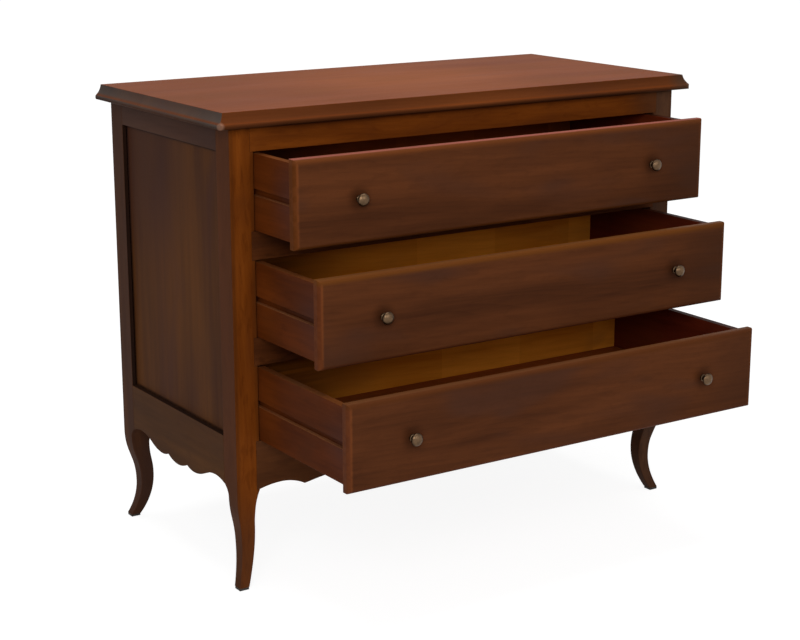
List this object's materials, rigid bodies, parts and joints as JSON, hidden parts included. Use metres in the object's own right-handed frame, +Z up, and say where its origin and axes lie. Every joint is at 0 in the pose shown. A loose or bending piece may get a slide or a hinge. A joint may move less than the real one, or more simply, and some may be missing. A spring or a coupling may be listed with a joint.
{
  "type": "chest of drawers",
  "caption": "Low commode with a moulded top, side-hung lipped drawers with round knobs, panelled sides, scalloped aprons and square cabriole legs.",
  "frame": {"origin": "on the floor, midway between the sides, and midway between the back edge of the top board and the knobs of the bottom drawer as it stands open; the middle of the case is 160 mm behind it", "axes": "+X to the right of someone who faces the drawers, +Y to the back, so that the drawers open towards -Y, +Z up"},
  "size_m": [1.058, 0.809, 0.873],
  "materials": {
    "top_wood": "satin lacquer over stain",
    "post_wood": "satin lacquer over stain",
    "front_frame_wood": "satin lacquer over stain",
    "side_wood": "satin lacquer over stain",
    "back_wood": "thin lacquer",
    "hidden_wood": "bare, planed",
    "drawer_front_wood": "satin lacquer over stain",
    "drawer_side_wood": "thin lacquer over stain",
    "drawer_back_wood": "thin lacquer",
    "drawer_bottom_wood": "thin lacquer",
    "knob_metal": "aged, half polished",
    "screw_steel": "zinc plated",
    "glide_plastic": "matt"
  },
  "bodies": {
    "case": {"apron_front": "front_frame_wood", "apron_side_left": "side_wood", "apron_side_right": "side_wood", "foot_glides": "glide_plastic", "muntin_back": "back_wood", "panel_back_left": "back_wood", "panel_back_right": "back_wood", "panel_side_left": "side_wood", "panel_side_right": "side_wood", "post_back_left": "post_wood", "post_back_right": "post_wood", "post_front_left": "post_wood", "post_front_right": "post_wood", "rail_back_bottom": "back_wood", "rail_back_top": "back_wood", "rail_front_lower": "front_frame_wood", "rail_front_top": "front_frame_wood", "rail_front_upper": "front_frame_wood", "rail_side_left": "side_wood", "rail_side_right": "side_wood", "runner_bottom_left": "hidden_wood", "runner_bottom_right": "hidden_wood", "runner_middle_left": "hidden_wood", "runner_middle_right": "hidden_wood", "runner_screws": "screw_steel", "runner_top_left": "hidden_wood", "runner_top_right": "hidden_wood", "top_board": "top_wood", "top_button_screws": "screw_steel", "top_buttons": "hidden_wood"},
    "drawer_top": {"drawer_top_back": "drawer_back_wood", "drawer_top_bottom": "drawer_bottom_wood", "drawer_top_front": "drawer_front_wood", "drawer_top_knob_left": "knob_metal", "drawer_top_knob_right": "knob_metal", "drawer_top_knob_screws": "screw_steel", "drawer_top_side_left": "drawer_side_wood", "drawer_top_side_right": "drawer_side_wood"},
    "drawer_middle": {"drawer_middle_back": "drawer_back_wood", "drawer_middle_bottom": "drawer_bottom_wood", "drawer_middle_front": "drawer_front_wood", "drawer_middle_knob_left": "knob_metal", "drawer_middle_knob_right": "knob_metal", "drawer_middle_knob_screws": "screw_steel", "drawer_middle_side_left": "drawer_side_wood", "drawer_middle_side_right": "drawer_side_wood"},
    "drawer_bottom": {"drawer_bottom_back": "drawer_back_wood", "drawer_bottom_bottom": "drawer_bottom_wood", "drawer_bottom_front": "drawer_front_wood", "drawer_bottom_knob_left": "knob_metal", "drawer_bottom_knob_right": "knob_metal", "drawer_bottom_knob_screws": "screw_steel", "drawer_bottom_side_left": "drawer_side_wood", "drawer_bottom_side_right": "drawer_side_wood"}
  },
  "joints": [
    {"name": "slide_top", "type": "slide", "parent": "case", "child": "drawer_top", "axis": [0, -1, 0], "range_m": [-0.1236, 0.196]},
    {"name": "slide_middle", "type": "slide", "parent": "case", "child": "drawer_middle", "axis": [0, -1, 0], "range_m": [-0.1986, 0.121]},
    {"name": "slide_bottom", "type": "slide", "parent": "case", "child": "drawer_bottom", "axis": [0, -1, 0], "range_m": [-0.2866, 0.033]}
  ]
}
